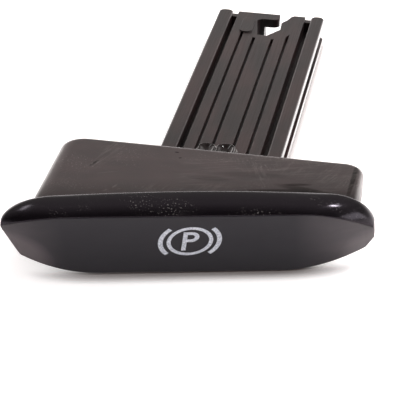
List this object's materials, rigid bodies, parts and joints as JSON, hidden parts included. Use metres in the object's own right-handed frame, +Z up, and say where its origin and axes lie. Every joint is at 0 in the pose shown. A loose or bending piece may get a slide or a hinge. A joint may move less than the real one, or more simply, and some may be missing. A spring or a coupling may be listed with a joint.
{
  "type": "hand brake release handle",
  "caption": "Pull handle for a hand brake release: wide slanted grip with a finger box behind it, on a long flat grooved rail that ends in an open cable hook.",
  "frame": {"origin": "on the mid-line of the slide rail, in the plane of its underside, below the rear wall of the finger box", "axes": "+Y along the rail, from the grip to the cable hook; +X across the rail, to the right seen from the grip; +Z up, out of the rail's grooved face"},
  "size_m": [0.0966, 0.1886, 0.0255],
  "materials": {
    "gloss_rim": "high gloss",
    "satin_face": "fine satin",
    "box_plastic": "fine grained, lightly scratched",
    "rail_plastic": "as moulded, semi-matte",
    "weld_plastic": "melted, glossy"
  },
  "bodies": {
    "root": {"grip_rim": "gloss_rim", "face_panel": "satin_face", "finger_box": "box_plastic", "slide_rail": "rail_plastic", "weld_bead": "weld_plastic"}
  },
  "joints": []
}
